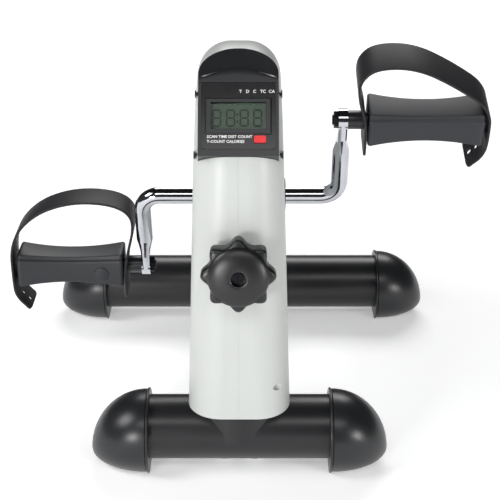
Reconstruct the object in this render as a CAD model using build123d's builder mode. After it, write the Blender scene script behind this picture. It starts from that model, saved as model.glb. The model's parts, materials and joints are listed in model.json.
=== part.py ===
"""Pedal exerciser: two floor tubes, a two-part body, a bent crank with strapped pedals, and a display.

Millimetres. +X is the user's right, +Y points away from the user, +Z is up.
The origin lies on the floor, under the middle of the whole exerciser.
"""
import math
import os

from build123d import *

# Floor tubes and their end caps
TUBE_R = 25.5
TUBE_WALL = 1.5
TUBE_Z = 32.0
FRONT_Y = -123.0
REAR_Y = 137.0
FRONT_SPAN = 236.0
REAR_SPAN = 354.0
CAP_LENGTH = 47.0
CAP_R = 33.0
CAP_RIM_Z = 28.4
CAP_TOE_Z = 13.4
CAP_SECTIONS = (1.0, 0.96, 0.88, 0.76, 0.6, 0.42, 0.24, 0.12)
CAP_BEAD = 2.2
CAP_SOCKET = 8.0
CAP_SPIGOT = 22.0
CAP_WALL = 3.0
CAP_RIM = 1.0
CAP_CORE_R = 17.0
CAP_CORE_DEPTH = 22.0
BOLT_XS = (-12, 12)
BOLT_R = 4.0
BOLT_HEAD_R = 7.0
BOLT_HEAD = 1.2

# Oval posts that stand on the tubes
POST_HALF_X = 34.0
POST_HALF_Y = 27.0
POST_WALL = 2.0
FRONT_LEAN = 8.0
REAR_LEAN = -30.0
FRONT_POST_TOP = 66.0
REAR_POST_TOP = 76.0

# Body shells, as seen from the side (Y, Z)
SHELL_WALL = 2.5
SHELL_BOTTOM = 60.0
SHELL_HALF_X_LOW = 41.25
SHELL_HALF_X_HIGH = 30.7
SHELL_TOP = 340.0
SHELL_EDGE_R = 26.0
FRONT_FOOT = (-157.0, SHELL_BOTTOM)
FRONT_SHOULDER = (-128.4, 262.0)
BROW = (-95.0, 304.5)
HUMP = (0.0, 348.8)
REAR_FOOT = (166.0, SHELL_BOTTOM)
REAR_INNER_FOOT = (86.0, SHELL_BOTTOM)
ARCH_TOP = (0.0, 106.0)
FRONT_INNER_FOOT = (-85.0, SHELL_BOTTOM)
SEAM = 0.03
BOSS_R = 3.4
SHELL_SCREWS = [(-147.4, 83.0), (-92.0, 226.0), (-40.0, 298.0), (55.0, 225.0), (141.2, 86.0)]

# Crank
SPINDLE_Y = 7.0
SPINDLE_Z = 177.0
CRANK_RADIUS = 77.0
CRANK_TILT = 15.7
ROD_R = 7.0
ARM_X = 82.8
BEND_R = 15.0
FLAT_THICK = 7.4
FLAT_WIDTH = 18.0
SLEEVE_R = 10.0
SLEEVE_HALF = 31.0
FIT = 0.05

# Frame plates and bearings
PLATE_IN = 21.0
PLATE_OUT = 24.0
BEARING_R = 16.0
BEARING_IN = 24.2
BEARING_OUT = 31.2
CUP_R = 18.5

# Drum and brake
DRUM_R = 60.0
DRUM_HALF = 18.0
DRUM_RIM = 6.0
HUB_R = 17.0
KNOB_Y = -140.1
KNOB_Z = 180.0
KNOB_FRONT = 28.0
KNOB_RECESS_R = 5.5
KNOB_RECESS = 6.0
SCREW_END = 24.5
ANCHOR_R = 5.8
ANCHOR_FROM = 12.0
ANCHOR_THICK = 4.0
SCREW_R = 3.95
BRAKE_GAP = 5.5
CARRIER_START = 58.0
CARRIER_END = 76.0

# Display
FACE_LOW = (-127.5, 263.0)
FACE_HIGH = (-94.6, 309.7)
VISOR_TOP = (-67.9, 325.2)
MONITOR_HALF_X = 29.2
MONITOR_DEPTH = 26.0
MONITOR_WALL = 2.0
MONITOR_SKIRT = 90.0
DOME_START = 6.0
DOME_RISE = 25.0
FLANK_XS = (31.95, 31.55)
BUTTON_AT = (15.6, 12.2)

# Pedals and straps
AXLE_R = 5.0
PEDAL_IN = 102.4
PEDAL_OUT = 194.2
PEDAL_HALF_Y = 15.2
PEDAL_HALF_Z = 12.7
PEDAL_WAIST = 3.6
STRAP_WIDTH = 28.0
STRAP_THICK = 2.0
PEG_Z = -10.2
PEDAL_TILTS = {"left": 0.0, "right": -20.0}

SIDES = {"left": -1, "right": 1}

os.makedirs("parts", exist_ok=True)


def save(part, name):
    """Label a finished piece and write it to its own file."""
    part.label = name
    export_step(part, f"parts/{name}.step")


def post_plane(y, lean):
    """The plane across a post, at its tube's axis; +Z of the plane runs up the post."""
    angle = math.radians(lean)
    return Plane(origin=(0, y, TUBE_Z), x_dir=(1, 0, 0), z_dir=(0, math.sin(angle), math.cos(angle)))


FRONT_POST_PLANE = post_plane(FRONT_Y, FRONT_LEAN)
REAR_POST_PLANE = post_plane(REAR_Y, REAR_LEAN)


def side_plane(x):
    """A plane square to X, whose own axes are the exerciser's Y and Z."""
    return Plane(origin=(x, 0, 0), x_dir=(0, 1, 0), z_dir=(1, 0, 0))


# ---------------------------------------------------------------- floor tubes and end caps
def floor_tube(y, span):
    """A round steel tube, ending inside the sockets of its two caps."""
    half = span / 2 - CAP_LENGTH + CAP_SOCKET
    with BuildPart() as tube:
        with BuildSketch(Plane.YZ.offset(-half)):
            with Locations((y, TUBE_Z)):
                Circle(TUBE_R)
                Circle(TUBE_R - TUBE_WALL, mode=Mode.SUBTRACT)
        extrude(amount=2 * half)
        with Locations(*[(x, y, TUBE_Z) for x in BOLT_XS]):
            Hole(BOLT_R + 0.1)
    return tube.part


def end_cap(side, y, span):
    """A moulded dome with a flat sole, a bead at its rim, and a spigot that plugs into the tube."""
    rim_x = side * (span / 2 - CAP_LENGTH)
    rim_plane = Plane(origin=(rim_x, y, 0), x_dir=(0, side, 0), z_dir=(side, 0, 0))
    inner_r = TUBE_R - TUBE_WALL
    with BuildPart() as cap:
        for share in CAP_SECTIONS:
            with BuildSketch(rim_plane.offset(CAP_LENGTH * math.sqrt(1 - share**2))):
                with Locations((0, CAP_TOE_Z + share * (CAP_RIM_Z - CAP_TOE_Z))):
                    Circle(share * CAP_R)
        loft()
        with BuildSketch(rim_plane):
            with Locations((0, CAP_RIM_Z)):
                Circle(CAP_R + CAP_RIM)
        extrude(amount=CAP_BEAD)
        with BuildSketch(rim_plane):
            with Locations((0, -CAP_R)):
                Rectangle(4 * CAP_R, 2 * CAP_R)
        extrude(amount=CAP_LENGTH, mode=Mode.SUBTRACT)
        with BuildSketch(rim_plane):
            with Locations((0, TUBE_Z)):
                Circle(TUBE_R)
        extrude(amount=CAP_SOCKET, mode=Mode.SUBTRACT)
        with BuildSketch(rim_plane.offset(CAP_SOCKET - CAP_SPIGOT)):
            with Locations((0, TUBE_Z)):
                Circle(inner_r)
                Circle(inner_r - CAP_WALL, mode=Mode.SUBTRACT)
        extrude(amount=CAP_SPIGOT)
        with BuildSketch(rim_plane):
            with Locations((0, TUBE_Z)):
                Circle(CAP_CORE_R)
        extrude(amount=CAP_CORE_DEPTH, mode=Mode.SUBTRACT)
    return cap.part


save(floor_tube(FRONT_Y, FRONT_SPAN), "front_base_tube")
save(floor_tube(REAR_Y, REAR_SPAN), "rear_base_tube")
for side_name, side in SIDES.items():
    save(end_cap(side, FRONT_Y, FRONT_SPAN), f"front_{side_name}_cap")
    save(end_cap(side, REAR_Y, REAR_SPAN), f"rear_{side_name}_cap")


# ---------------------------------------------------------------- posts, nut plates and base bolts
POST_RIVETS = [(-117.0, 76.0), (110.0, 79.0)]


def post(plane, y, top):
    """An oval tube, fish-mouthed over the round tube that it is fixed to."""
    with BuildPart() as oval:
        with BuildSketch(plane.offset(-4)):
            Ellipse(POST_HALF_X, POST_HALF_Y)
        extrude(amount=top + 4)
        with BuildSketch(plane.offset(-4)):
            Ellipse(POST_HALF_X - POST_WALL, POST_HALF_Y - POST_WALL)
        extrude(amount=top + 4, mode=Mode.SUBTRACT)
        with BuildSketch(side_plane(-60)):
            with Locations((y, TUBE_Z)):
                Circle(TUBE_R)
            with Locations(*POST_RIVETS):
                Circle(3)
        extrude(amount=120, mode=Mode.SUBTRACT)
    return max(oval.part.solids(), key=lambda solid: solid.volume)


NUT_PLATE_Z = 60.0
with BuildPart() as nut_plates:
    for y in (FRONT_Y, REAR_Y):
        with Locations((0, y, NUT_PLATE_Z + 2)):
            Box(34, 10, 4)
    with Locations(*[(x, y, NUT_PLATE_Z + 4) for x in BOLT_XS for y in (FRONT_Y, REAR_Y)]):
        Hole(BOLT_R)

with BuildPart() as base_bolts:
    for y in (FRONT_Y, REAR_Y):
        for x in BOLT_XS:
            with Locations((x, y, TUBE_Z - TUBE_R)):
                Cylinder(BOLT_HEAD_R, BOLT_HEAD, align=(Align.CENTER, Align.CENTER, Align.MAX))
                Cylinder(BOLT_R, 62, align=(Align.CENTER, Align.CENTER, Align.MIN))

POSTS = {
    "front_post": post(FRONT_POST_PLANE, FRONT_Y, FRONT_POST_TOP),
    "rear_post": post(REAR_POST_PLANE, REAR_Y, REAR_POST_TOP),
}
for post_name, post_part in POSTS.items():
    save(post_part, post_name)
save(nut_plates.part, "nut_plates")
save(base_bolts.part, "base_bolts")


# ---------------------------------------------------------------- frame plates, spacers and rivets
SPACERS = [(-103.0, 198.0), (-88.0, 112.0), (90.0, 95.0)]
LIGHTENING_HOLES = [(-70.0, 150.0), (-75.0, 120.0)]
FRONT_ARM = [(-117.0, 72.0, 13.0), (-103.0, 189.0, 18.0), (SPINDLE_Y, SPINDLE_Z, 28.0)]
REAR_ARM = [(114.0, 72.0, 13.0), (SPINDLE_Y, SPINDLE_Z, 28.0)]
RIVET_R = 3.0
RIVET_HEAD_R = 5.5


def hull_of(circles):
    """The outline stretched round a row of (y, z, radius) circles."""
    with BuildSketch() as outline:
        for y, z, radius in circles:
            with Locations((y, z)):
                Circle(radius)
        make_hull()
    return outline.sketch


def frame_plate(side):
    """A steel plate from the front post over the spindle to the rear post."""
    with BuildPart() as plate:
        with BuildSketch(side_plane(side * PLATE_IN)):
            add(hull_of(FRONT_ARM))
            add(hull_of(REAR_ARM))
            with Locations((SPINDLE_Y, SPINDLE_Z)):
                Circle(14.5, mode=Mode.SUBTRACT)
            with Locations(*SPACERS, *POST_RIVETS):
                Circle(RIVET_R, mode=Mode.SUBTRACT)
            with Locations(*LIGHTENING_HOLES):
                Circle(11, mode=Mode.SUBTRACT)
        extrude(amount=side * (PLATE_OUT - PLATE_IN))
        for post_part in POSTS.values():
            add(post_part, mode=Mode.SUBTRACT)
    return max(plate.part.solids(), key=lambda solid: solid.volume)


with BuildPart() as frame_spacers:
    with BuildSketch(side_plane(-PLATE_IN)):
        with Locations(*SPACERS):
            Circle(RIVET_HEAD_R)
            Circle(RIVET_R, mode=Mode.SUBTRACT)
    extrude(amount=2 * PLATE_IN)

with BuildPart() as frame_rivets:
    with BuildSketch(side_plane(-PLATE_OUT)):
        with Locations(*SPACERS):
            Circle(RIVET_R)
    extrude(amount=2 * PLATE_OUT)
    for head_x in (-PLATE_OUT - 2, PLATE_OUT):
        with BuildSketch(side_plane(head_x)):
            with Locations(*SPACERS):
                Circle(RIVET_HEAD_R)
        extrude(amount=2)
    with BuildSketch(side_plane(-POST_HALF_X - 1.2)):
        with Locations(*POST_RIVETS):
            Circle(RIVET_R)
    extrude(amount=2 * POST_HALF_X + 2.4)

for side_name, side in SIDES.items():
    save(frame_plate(side), f"{side_name}_frame_plate")
save(frame_spacers.part, "frame_spacers")
save(frame_rivets.part, "frame_rivets")


# ---------------------------------------------------------------- bearings
def ring(x_from, x_to, outer_r, inner_r):
    """A plain ring about the spindle's axis."""
    low, high = sorted((x_from, x_to))
    with BuildPart() as plain:
        with BuildSketch(side_plane(low)):
            with Locations((SPINDLE_Y, SPINDLE_Z)):
                Circle(outer_r)
                Circle(inner_r, mode=Mode.SUBTRACT)
        extrude(amount=high - low)
    return plain.part


with BuildPart() as bearing_cups:
    for side in SIDES.values():
        add(ring(side * PLATE_OUT, side * (BEARING_OUT + 0.2), CUP_R, BEARING_R))

with BuildPart() as bearing_balls:
    for side in SIDES.values():
        for turn in range(9):
            angle = math.radians(40 * turn)
            ball_x = side * (BEARING_IN + BEARING_OUT) / 2
            with Locations((ball_x, SPINDLE_Y + 13 * math.cos(angle), SPINDLE_Z + 13 * math.sin(angle))):
                Sphere(1.45)

save(bearing_cups.part, "bearing_cups")
save(bearing_balls.part, "bearing_balls")
for side_name, side in SIDES.items():
    save(ring(side * BEARING_IN, side * BEARING_OUT, BEARING_R, 14.5), f"{side_name}_bearing_outer")
    save(ring(side * BEARING_IN, side * BEARING_OUT, 11.5, SLEEVE_R), f"{side_name}_bearing_inner")


# ---------------------------------------------------------------- display block, used by the shells
def toward(start, end):
    """The unit vector from one (Y, Z) point to another."""
    length = math.dist(start, end)
    return ((end[0] - start[0]) / length, (end[1] - start[1]) / length)


FACE_UP = toward(FACE_LOW, FACE_HIGH)
FACE_OUT = (-FACE_UP[1], FACE_UP[0])
FACE_PLANE = Plane(
    origin=(0, FACE_LOW[0], FACE_LOW[1]),
    x_dir=(1, 0, 0),
    z_dir=(0, FACE_OUT[0], FACE_OUT[1]),
)
BACK_LOW = (FACE_LOW[0] - MONITOR_DEPTH * FACE_OUT[0], FACE_LOW[1] - MONITOR_DEPTH * FACE_OUT[1])
BACK_HIGH = (BACK_LOW[0] + 66 * FACE_UP[0], BACK_LOW[1] + 66 * FACE_UP[1])
VISOR_BACK = (-60.5, 313.0)
VISOR_UP = toward(FACE_HIGH, VISOR_TOP)
VISOR_PLANE = Plane(
    origin=(0, FACE_HIGH[0], FACE_HIGH[1]),
    x_dir=(1, 0, 0),
    z_dir=(0, -VISOR_UP[1], VISOR_UP[0]),
)


def monitor_block(grow):
    """The display housing's outer form, made larger or smaller all over by grow."""
    with BuildPart() as block:
        with BuildSketch(side_plane(-MONITOR_HALF_X - grow)):
            with BuildLine():
                Polyline(FACE_LOW, FACE_HIGH, VISOR_TOP, VISOR_BACK, BACK_HIGH, BACK_LOW, close=True)
            make_face()
            offset(amount=grow, kind=Kind.INTERSECTION)
        extrude(amount=2 * (MONITOR_HALF_X + grow))
        with BuildSketch(VISOR_PLANE):
            with Locations((0, DOME_START)):
                Ellipse(MONITOR_HALF_X + grow, DOME_RISE + grow)
            with Locations((0, DOME_START - MONITOR_SKIRT / 2)):
                Rectangle(2 * (MONITOR_HALF_X + grow), MONITOR_SKIRT)
        extrude(amount=MONITOR_SKIRT, both=True, mode=Mode.INTERSECT)
    return block.part


# ---------------------------------------------------------------- body shells
def body_form(inset):
    """The right half of the body's outer form, drawn in all over by inset."""
    with BuildPart() as form:
        with BuildSketch(side_plane(0)) as side_view:
            with BuildLine():
                Polyline(
                    FRONT_INNER_FOOT, FRONT_FOOT, FRONT_SHOULDER, BROW, HUMP, REAR_FOOT, REAR_INNER_FOOT
                )
                ThreePointArc(REAR_INNER_FOOT, ARCH_TOP, FRONT_INNER_FOOT)
            make_face()
            for point, radius in ((FRONT_SHOULDER, 50), (BROW, 50), (HUMP, 98)):
                corner = side_view.vertices().sort_by_distance(Vector(*point))[0]
                fillet(corner, radius)
            offset(amount=-inset, kind=Kind.INTERSECTION)
        extrude(amount=60)
        with BuildSketch(Plane.XZ):
            with BuildLine():
                Polyline(
                    (0, 0), (SHELL_HALF_X_LOW - inset, 0), (SHELL_HALF_X_HIGH - inset, SHELL_TOP),
                    (0, SHELL_TOP), close=True,
                )
            make_face()
        extrude(amount=300, both=True, mode=Mode.INTERSECT)
        flank = form.faces().sort_by(Axis.X)[-1]
        rim = flank.edges()
        foot_z = SHELL_BOTTOM + inset + 1
        outer_rim = rim.filter_by(lambda edge: edge.center().Z > foot_z and not on_arch(edge))
        fillet(outer_rim, SHELL_EDGE_R - inset)
    return form.part


def on_arch(edge):
    """True for the edge that follows the arch between the legs."""
    middle = edge.position_at(0.5)
    return abs(middle.Y) < 20 and middle.Z < 125


def shell_half(side):
    """One moulded half of the body: hollow, with screw bosses, open for posts, crank and display."""
    with BuildPart() as half:
        add(body_form(0))
        add(body_form(SHELL_WALL), mode=Mode.SUBTRACT)
        with BuildSketch(side_plane(0)):
            with Locations(*SHELL_SCREWS):
                Circle(BOSS_R)
        extrude(amount=45)
        add(body_form(0), mode=Mode.INTERSECT)
        with BuildSketch(side_plane(0)):
            with Locations(*SHELL_SCREWS):
                Circle(1.6)
        extrude(amount=45 if side > 0 else 20, mode=Mode.SUBTRACT)
        if side > 0:
            with BuildSketch(side_plane(18)):
                with Locations(*SHELL_SCREWS):
                    Circle(2.6)
            extrude(amount=30, mode=Mode.SUBTRACT)
        with BuildSketch(side_plane(0)):
            with Locations((SPINDLE_Y, SPINDLE_Z)):
                Circle(12.2)
        extrude(amount=60, mode=Mode.SUBTRACT)
        for plane in (FRONT_POST_PLANE, REAR_POST_PLANE):
            with BuildSketch(plane):
                Ellipse(POST_HALF_X + 0.6, POST_HALF_Y + 0.6)
            extrude(amount=62, mode=Mode.SUBTRACT)
        with BuildSketch(KNOB_PLANE.offset(-20)):
            Circle(7.2)
        extrude(amount=40, mode=Mode.SUBTRACT)
        add(monitor_block(0.3), mode=Mode.SUBTRACT)
        with BuildSketch(side_plane(20)):
            with Locations(*MONITOR_SCREWS):
                Circle(1.6)
        extrude(amount=40, mode=Mode.SUBTRACT)
        split(bisect_by=Plane.YZ.offset(SEAM), keep=Keep.TOP)
        if side < 0:
            mirror(about=Plane.YZ, mode=Mode.REPLACE)
    return max(half.part.solids(), key=lambda solid: solid.volume)


KNOB_TILT = math.radians(FRONT_LEAN)
KNOB_PLANE = Plane(
    origin=(0, KNOB_Y, KNOB_Z), x_dir=(1, 0, 0), z_dir=(0, -math.cos(KNOB_TILT), math.sin(KNOB_TILT))
)
MONITOR_SCREWS = [(-112.0, 258.0), (-80.0, 294.0)]

for side_name, side in SIDES.items():
    save(shell_half(side), f"{side_name}_shell")

with BuildPart() as shell_screws:
    with BuildSketch(side_plane(-14)):
        with Locations(*SHELL_SCREWS):
            Circle(1.5)
    extrude(amount=32)
    with BuildSketch(side_plane(18)):
        with Locations(*SHELL_SCREWS):
            Circle(2.5)
            RegularPolygon(1.2, 6, mode=Mode.SUBTRACT)
    extrude(amount=2)
save(shell_screws.part, "shell_screws")


# ---------------------------------------------------------------- crank, with its sleeve, drum and pins
CRANK_ANGLE = math.radians(CRANK_TILT)


def arm_direction(side):
    """The unit vector from the spindle to a pedal's axle; the two arms point opposite ways."""
    return Vector(0, -side * math.sin(CRANK_ANGLE), side * math.cos(CRANK_ANGLE))


def axle_point(side, x):
    """A point on a pedal's axle, x from the middle."""
    reach = arm_direction(side) * CRANK_RADIUS
    return Vector(side * x, SPINDLE_Y + reach.Y, SPINDLE_Z + reach.Z)


def crank_arm(side):
    """A round bar bent up to the pedal, its end pressed flat and drilled for the axle."""
    spindle = Vector(0, SPINDLE_Y, SPINDLE_Z)
    out = Vector(side, 0, 0)
    up = arm_direction(side)
    root = spindle + out * 3
    corner = spindle + out * ARM_X
    neck = corner + up * (CRANK_RADIUS - 30)
    shoulder = corner + up * (CRANK_RADIUS - 15)
    axle = corner + up * CRANK_RADIUS
    with BuildPart() as arm:
        with BuildLine() as path:
            FilletPolyline(root, corner, neck, radius=BEND_R)
        with BuildSketch(Plane(origin=root, z_dir=out)):
            Circle(ROD_R)
        sweep(path=path.line)
        with BuildSketch(Plane(origin=neck, x_dir=(1, 0, 0), z_dir=up)):
            Circle(ROD_R)
        with BuildSketch(Plane(origin=shoulder, x_dir=(1, 0, 0), z_dir=up)):
            RectangleRounded(FLAT_THICK, FLAT_WIDTH, 3)
        loft()
        with BuildSketch(Plane(origin=shoulder, x_dir=(1, 0, 0), z_dir=up)):
            RectangleRounded(FLAT_THICK, FLAT_WIDTH, 3)
        extrude(amount=15)
        eye_plane = Plane(origin=axle - out * (FLAT_THICK / 2), z_dir=out)
        with BuildSketch(eye_plane):
            Circle(FLAT_WIDTH / 2)
        extrude(amount=FLAT_THICK)
        with BuildSketch(eye_plane.offset(-1)):
            Circle(4.0)
        extrude(amount=FLAT_THICK + 2, mode=Mode.SUBTRACT)
        with BuildSketch(Plane(origin=(side * 10, SPINDLE_Y, SPINDLE_Z - 20), z_dir=(0, 0, 1))):
            Circle(2)
        extrude(amount=40, mode=Mode.SUBTRACT)
    return arm.part


with BuildPart() as crank_sleeve:
    add(ring(-SLEEVE_HALF, SLEEVE_HALF, SLEEVE_R, ROD_R))
    with Locations(*[(x, SPINDLE_Y, SPINDLE_Z) for x in (-10, 10)]):
        Hole(2)

with BuildPart() as crank_pins:
    for x in (-10, 10):
        with Locations((x, SPINDLE_Y, SPINDLE_Z)):
            Cylinder(2, 2 * HUB_R - 1)

with BuildPart() as drum:
    add(ring(-DRUM_HALF, DRUM_HALF, DRUM_R, DRUM_R - DRUM_RIM))
    add(ring(-DRUM_HALF, DRUM_HALF, HUB_R, SLEEVE_R))
    add(ring(-3, 3, DRUM_R - 1, HUB_R - 1))
    with BuildSketch(side_plane(-DRUM_HALF)):
        with Locations((SPINDLE_Y, SPINDLE_Z)):
            with PolarLocations((DRUM_R - DRUM_RIM + HUB_R) / 2, 6, start_angle=30):
                Circle(8)
    extrude(amount=2 * DRUM_HALF, mode=Mode.SUBTRACT)
    with BuildSketch(side_plane(3)):
        with Locations((SPINDLE_Y - 50, SPINDLE_Z)):
            Circle(5)
    extrude(amount=DRUM_HALF - 3)
    with BuildSketch(side_plane(12)):
        with Locations((SPINDLE_Y - 50, SPINDLE_Z)):
            Circle(3)
    extrude(amount=DRUM_HALF - 12, mode=Mode.SUBTRACT)
    with Locations(*[(x, SPINDLE_Y, SPINDLE_Z) for x in (-10, 10)]):
        Hole(2, depth=HUB_R + 1)
        Cylinder(2, 2 * HUB_R + 2, mode=Mode.SUBTRACT)

with BuildPart() as drum_magnet:
    with BuildSketch(side_plane(12)):
        with Locations((SPINDLE_Y - 50, SPINDLE_Z)):
            Circle(3)
    extrude(amount=5.5)

for side_name, side in SIDES.items():
    save(crank_arm(side), f"{side_name}_crank_arm")
save(crank_sleeve.part, "crank_sleeve")
save(crank_pins.part, "crank_pins")
save(drum.part, "drum")
save(drum_magnet.part, "drum_magnet")


def crank_bush(side):
    """The flanged bush that closes the shell round the crank."""
    with BuildPart() as bush:
        add(ring(side * 32, side * 36.5, 12.0, 7.5))
        add(ring(side * 36.3, side * 38.0, 14.5, 7.5))
    return bush.part


for side_name, side in SIDES.items():
    save(crank_bush(side), f"{side_name}_crank_bush")


# ---------------------------------------------------------------- tension knob and brake
with BuildPart() as knob:
    with BuildSketch(KNOB_PLANE.offset(7)):
        Circle(22.5)
        with PolarLocations(20.5, 8):
            Circle(6.5)
    extrude(amount=15)
    fillet(knob.edges().group_by(SortBy.LENGTH)[-1], 1.2)
    with BuildSketch(KNOB_PLANE.offset(21)):
        Circle(22)
    with BuildSketch(KNOB_PLANE.offset(KNOB_FRONT)):
        Circle(18)
    loft()
    with BuildSketch(KNOB_PLANE.offset(4.5)):
        Circle(11)
    extrude(amount=4)
    with BuildSketch(KNOB_PLANE.offset(KNOB_FRONT - KNOB_RECESS)):
        Circle(KNOB_RECESS_R)
    extrude(amount=KNOB_RECESS, mode=Mode.SUBTRACT)
    with BuildSketch(KNOB_PLANE.offset(ANCHOR_FROM)):
        RegularPolygon(ANCHOR_R, 6)
    extrude(amount=ANCHOR_THICK, mode=Mode.SUBTRACT)
    with BuildSketch(KNOB_PLANE):
        Circle(SCREW_R)
    extrude(amount=KNOB_FRONT, mode=Mode.SUBTRACT)

with BuildPart() as brake_screw:
    with BuildSketch(KNOB_PLANE.offset(-72)):
        Circle(SCREW_R)
    extrude(amount=72 + SCREW_END)
    with BuildSketch(KNOB_PLANE.offset(ANCHOR_FROM)):
        RegularPolygon(ANCHOR_R, 6)
    extrude(amount=ANCHOR_THICK)
    with BuildSketch(KNOB_PLANE.offset(SCREW_END - 1.2)):
        Rectangle(1.3, 2 * SCREW_R)
    extrude(amount=1.2, mode=Mode.SUBTRACT)

with BuildPart() as screw_rings:
    for depth in (21.4, 27.6):
        with BuildSketch(KNOB_PLANE.offset(-depth)):
            Circle(6.5)
            Circle(SCREW_R, mode=Mode.SUBTRACT)
        extrude(amount=1)

with BuildPart() as knob_bush:
    with BuildSketch(KNOB_PLANE.offset(-6)):
        Circle(7.0)
    extrude(amount=7)
    with BuildSketch(KNOB_PLANE.offset(0.6)):
        Circle(12)
    extrude(amount=3.2)
    with BuildSketch(KNOB_PLANE.offset(-8)):
        Circle(SCREW_R + FIT)
    extrude(amount=20, mode=Mode.SUBTRACT)

with BuildPart() as brake_bracket:
    with BuildSketch(KNOB_PLANE.offset(-26.3)):
        Rectangle(2 * PLATE_IN, 24)
        Circle(SCREW_R + FIT, mode=Mode.SUBTRACT)
    extrude(amount=3.6)
    for side in SIDES.values():
        with BuildSketch(KNOB_PLANE.offset(-74)):
            with Locations((side * (PLATE_IN - 1.5), 0)):
                Rectangle(3, 20)
        extrude(amount=50)

with BuildPart() as shoe_carrier:
    with BuildSketch(KNOB_PLANE.offset(-CARRIER_END)):
        Rectangle(2 * 17.6, 20)
    extrude(amount=CARRIER_END - CARRIER_START)
    with BuildSketch(KNOB_PLANE.offset(-CARRIER_END + 2)):
        Circle(SCREW_R + FIT)
    extrude(amount=30, mode=Mode.SUBTRACT)

with BuildPart() as brake_pad:
    with BuildSketch(KNOB_PLANE.offset(-CARRIER_END - 12)):
        Rectangle(34, 26)
    extrude(amount=12)
    with BuildSketch(side_plane(-30)):
        with Locations((SPINDLE_Y, SPINDLE_Z)):
            Circle(DRUM_R + BRAKE_GAP)
    extrude(amount=60, mode=Mode.SUBTRACT)

save(knob.part, "knob")
save(brake_screw.part, "brake_screw")
save(screw_rings.part, "screw_rings")
save(knob_bush.part, "knob_bush")
save(brake_bracket.part, "brake_bracket")
save(shoe_carrier.part, "shoe_carrier")
save(brake_pad.part, "brake_pad")


# ---------------------------------------------------------------- display
FACE_THICK = 1.2
BOARD_FRONT = 7.4

with BuildPart() as monitor_housing:
    add(monitor_block(0))
    with BuildSketch(FACE_PLANE.offset(-FACE_THICK - MONITOR_WALL)):
        with Locations((0, 30)):
            Rectangle(2 * (MONITOR_HALF_X - MONITOR_WALL), 54)
    extrude(amount=-(MONITOR_DEPTH - FACE_THICK - MONITOR_WALL + 2), mode=Mode.SUBTRACT)
    with BuildSketch(FACE_PLANE.offset(-FACE_THICK)):
        with Locations((0, 30)):
            Rectangle(54, 50)
    extrude(amount=5, mode=Mode.SUBTRACT)
    with BuildSketch(FACE_PLANE.offset(-6)):
        with Locations((0, 29.6)):
            Rectangle(44, 24)
        with Locations(BUTTON_AT):
            Rectangle(9.0, 5.6)
    extrude(amount=8, mode=Mode.SUBTRACT)
    with BuildSketch(side_plane(-40)):
        with Locations(*MONITOR_SCREWS):
            Circle(1.5)
    extrude(amount=80, mode=Mode.SUBTRACT)

with BuildPart() as monitor_face:
    with BuildSketch(FACE_PLANE.offset(-FACE_THICK)):
        with Locations((0, 30)):
            RectangleRounded(53.6, 49.6, 3)
        with Locations((0, 29.6)):
            Rectangle(44, 24, mode=Mode.SUBTRACT)
        with Locations(BUTTON_AT):
            Rectangle(9.0, 5.6, mode=Mode.SUBTRACT)
    extrude(amount=FACE_THICK)

with BuildPart() as lcd_bezel:
    with BuildSketch(FACE_PLANE):
        with Locations((0, 29.6)):
            Rectangle(48, 27)
            Rectangle(43.6, 23.6, mode=Mode.SUBTRACT)
    extrude(amount=0.6)
    with BuildSketch(FACE_PLANE.offset(0.6)):
        with Locations((0, 29.6)):
            Rectangle(48, 27)
            Rectangle(39.6, 20, mode=Mode.SUBTRACT)
    extrude(amount=1.2)
    chamfer(lcd_bezel.faces().sort_by(Axis((0, 0, 0), FACE_PLANE.z_dir))[-1].outer_wire().edges(), 1.0)

with BuildPart() as lcd_lens:
    with BuildSketch(FACE_PLANE.offset(-0.8)):
        with Locations((0, 29.6)):
            Rectangle(43.4, 23.4)
    extrude(amount=1.2)

with BuildPart() as lcd_panel:
    with BuildSketch(FACE_PLANE.offset(-3.8)):
        with Locations((0, 29.6)):
            Rectangle(43.4, 23.4)
    extrude(amount=2.8)

with BuildPart() as circuit_board:
    with BuildSketch(FACE_PLANE.offset(-BOARD_FRONT - 1.6)):
        with Locations((0, 28)):
            Rectangle(52, 46)
    extrude(amount=1.6)
    with BuildSketch(FACE_PLANE.offset(-BOARD_FRONT)):
        with Locations(BUTTON_AT):
            Rectangle(6, 5)
    extrude(amount=0.7)
    with BuildSketch(FACE_PLANE.offset(-BOARD_FRONT)):
        with Locations((0, 29.6)):
            Rectangle(40, 20)
    extrude(amount=3.4)

with BuildPart() as mode_button:
    with BuildSketch(FACE_PLANE.offset(-5.6)):
        with Locations(BUTTON_AT):
            RectangleRounded(8.6, 5.2, 1.0)
    extrude(amount=7.0)
    with BuildSketch(FACE_PLANE.offset(-4.3)):
        with Locations(BUTTON_AT):
            Rectangle(11, 6.6)
    extrude(amount=1.0)

BATTERY_DEPTH = 16.0
BATTERY_V = 20.0
battery_axis = FACE_PLANE.offset(-BATTERY_DEPTH)
battery_centre = battery_axis.from_local_coords(Vector(0, BATTERY_V, 0))
with BuildPart() as battery:
    with BuildSketch(side_plane(-22)):
        with Locations((battery_centre.Y, battery_centre.Z)):
            Circle(5.2)
    extrude(amount=43.2)
    with BuildSketch(side_plane(21.2)):
        with Locations((battery_centre.Y, battery_centre.Z)):
            Circle(1.9)
    extrude(amount=0.8)

with BuildPart() as battery_contacts:
    for start in (-22.8, 22.0):
        with BuildSketch(side_plane(start)):
            with Locations((battery_centre.Y, battery_centre.Z)):
                Circle(4.5)
        extrude(amount=0.8)

with BuildPart() as monitor_back:
    with BuildSketch(FACE_PLANE.offset(-MONITOR_DEPTH)):
        with Locations((0, 30)):
            Rectangle(2 * (MONITOR_HALF_X - MONITOR_WALL) - 0.4, 53.6)
    extrude(amount=2)

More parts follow.
